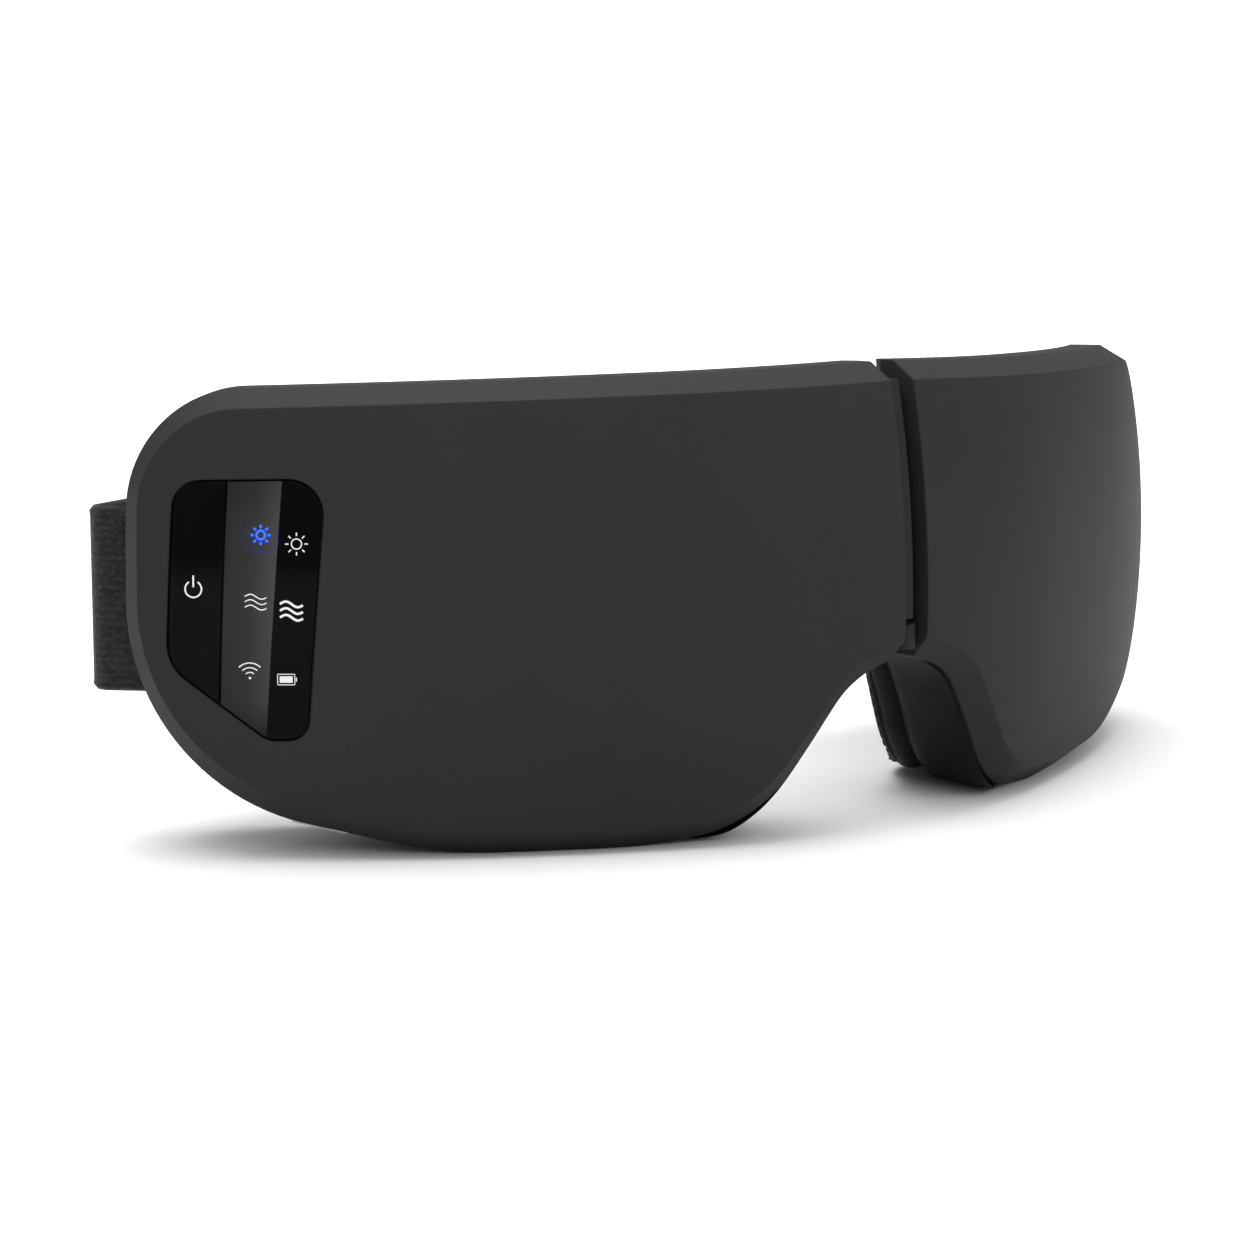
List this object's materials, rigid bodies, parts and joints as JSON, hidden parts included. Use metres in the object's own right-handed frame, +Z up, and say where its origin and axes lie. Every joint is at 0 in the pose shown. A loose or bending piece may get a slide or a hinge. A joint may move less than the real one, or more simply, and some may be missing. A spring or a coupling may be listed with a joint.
{
  "type": "eye massager mask",
  "caption": "Folding eye massager mask with padded halves, a touch panel, a power button, inner motors and an elastic head strap.",
  "frame": {"origin": "centre of the bounding box, at the level of the feet that the mask stands on", "axes": "+X to the viewer's right when the front is seen, the front faces -Y, +Z up"},
  "size_m": [0.2298, 0.0874, 0.078],
  "materials": {
    "bag": "thin film",
    "battery": "foil pouch",
    "board": "solder mask",
    "button": "polished",
    "component": "moulded",
    "cushion": "soft leatherette",
    "film": "polyimide film",
    "frame": "moulded",
    "hook_tape": "hook and loop",
    "hose": "silicone",
    "light": "diffuse",
    "liner": "breathable knit",
    "shell": "fine matte",
    "steel": "turned",
    "trim": "satin",
    "webbing": "elastic knit",
    "window": "polished"
  },
  "bodies": {
    "right_half": {"battery_cell": "battery", "right_air_hose": "hose", "right_air_valve": "component", "right_airbag": "bag", "right_cushion_wall": "cushion", "right_eye_liner": "liner", "right_face_cushion": "cushion", "right_frame_screws": "steel", "right_front_shell": "shell", "right_heater_film": "film", "right_hinge_leaf": "steel", "right_inner_frame": "frame", "right_leaf_screws": "steel", "right_pump_head": "component", "right_pump_motor": "steel", "right_speaker": "component", "right_strap_anchor": "webbing", "right_strap_clamp": "frame", "right_vibration_motor": "steel"},
    "left_half": {"display_window": "window", "hinge_cover": "trim", "hinge_pin": "steel", "indicator_lights": "light", "led_board": "board", "left_air_hose": "hose", "left_air_valve": "component", "left_airbag": "bag", "left_cushion_wall": "cushion", "left_eye_liner": "liner", "left_face_cushion": "cushion", "left_frame_screws": "steel", "left_front_shell": "shell", "left_heater_film": "film", "left_hinge_leaf": "steel", "left_inner_frame": "frame", "left_leaf_screws": "steel", "left_pump_head": "component", "left_pump_motor": "steel", "left_speaker": "component", "left_strap_anchor": "webbing", "left_strap_clamp": "frame", "left_vibration_motor": "steel", "lower_hinge_cap": "trim", "main_board": "board", "panel_tray": "frame", "power_switch": "component", "upper_hinge_cap": "trim", "usb_port": "steel"},
    "left_weight": {"left_eccentric_weight": "steel"},
    "left_strap": {"left_loop_patch": "hook_tape", "left_strap": "webbing"},
    "power_button": {"power_button": "button"},
    "right_weight": {"right_eccentric_weight": "steel"},
    "right_strap": {"right_hook_patch": "hook_tape", "right_strap": "webbing"}
  },
  "joints": [
    {"name": "fold", "type": "hinge", "parent": "left_half", "child": "right_half", "pos_m": [0, -0.0353, 0.04], "axis": [0, 0, 1], "range_deg": [0, 52]},
    {"name": "left_strap_swing", "type": "hinge", "parent": "left_half", "child": "left_strap", "pos_m": [-0.1104, 0.02851, 0.041], "axis": [0, 0, 1], "range_deg": [0, 95]},
    {"name": "right_strap_swing", "type": "hinge", "parent": "right_half", "child": "right_strap", "pos_m": [0.1104, 0.02851, 0.041], "axis": [0, 0, 1], "range_deg": [-95, 0]},
    {"name": "power_press", "type": "slide", "parent": "left_half", "child": "power_button", "axis": [0.658, 0.753, 0], "range_m": [0, 0.0005], "stiffness_N_per_m": 600},
    {"name": "left_weight_spin", "type": "hinge", "parent": "left_half", "child": "left_weight", "pos_m": [-0.0523, -0.02248, 0.0245], "axis": [-0.8972, 0.4415, 0], "continuous": true},
    {"name": "right_weight_spin", "type": "hinge", "parent": "right_half", "child": "right_weight", "pos_m": [0.0523, -0.02248, 0.0245], "axis": [0.8972, 0.4415, 0], "continuous": true}
  ],
  "couplings": [
    {"joint": "left_strap_swing", "follows": "fold", "ratio": 1.8},
    {"joint": "right_strap_swing", "follows": "fold", "ratio": -1.8}
  ]
}
